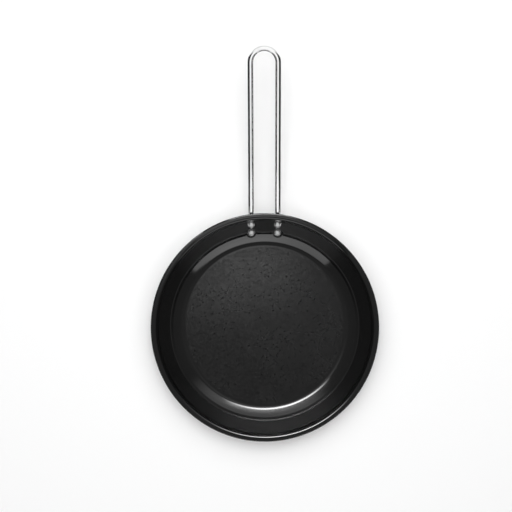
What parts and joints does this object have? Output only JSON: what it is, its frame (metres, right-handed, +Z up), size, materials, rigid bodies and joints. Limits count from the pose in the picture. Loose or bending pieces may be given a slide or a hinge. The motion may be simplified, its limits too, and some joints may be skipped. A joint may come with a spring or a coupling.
{
  "type": "omelette pan",
  "caption": "Shallow round pan with a stepped sloping wall and a flared lip, on a steel base disc, with a long looped wire handle riveted to the wall.",
  "frame": {"origin": "centre of the base disc's bottom face", "axes": "+Z up, out of the pan's mouth; +Y from the pan towards the handle's tip; +X to the right"},
  "size_m": [0.2098, 0.3556, 0.08],
  "materials": {
    "coated_pan": "pressed aluminium under a glossy black non-stick coating",
    "base_steel": "bare steel with concentric turning marks",
    "wire_steel": "polished stainless steel wire",
    "rivet_steel": "polished stainless steel"
  },
  "bodies": {
    "root": {"pan_body": "coated_pan", "base_plate": "base_steel", "wire_handle": "wire_steel", "rivet_upper_left": "rivet_steel", "rivet_lower_left": "rivet_steel", "rivet_upper_right": "rivet_steel", "rivet_lower_right": "rivet_steel"}
  },
  "joints": []
}
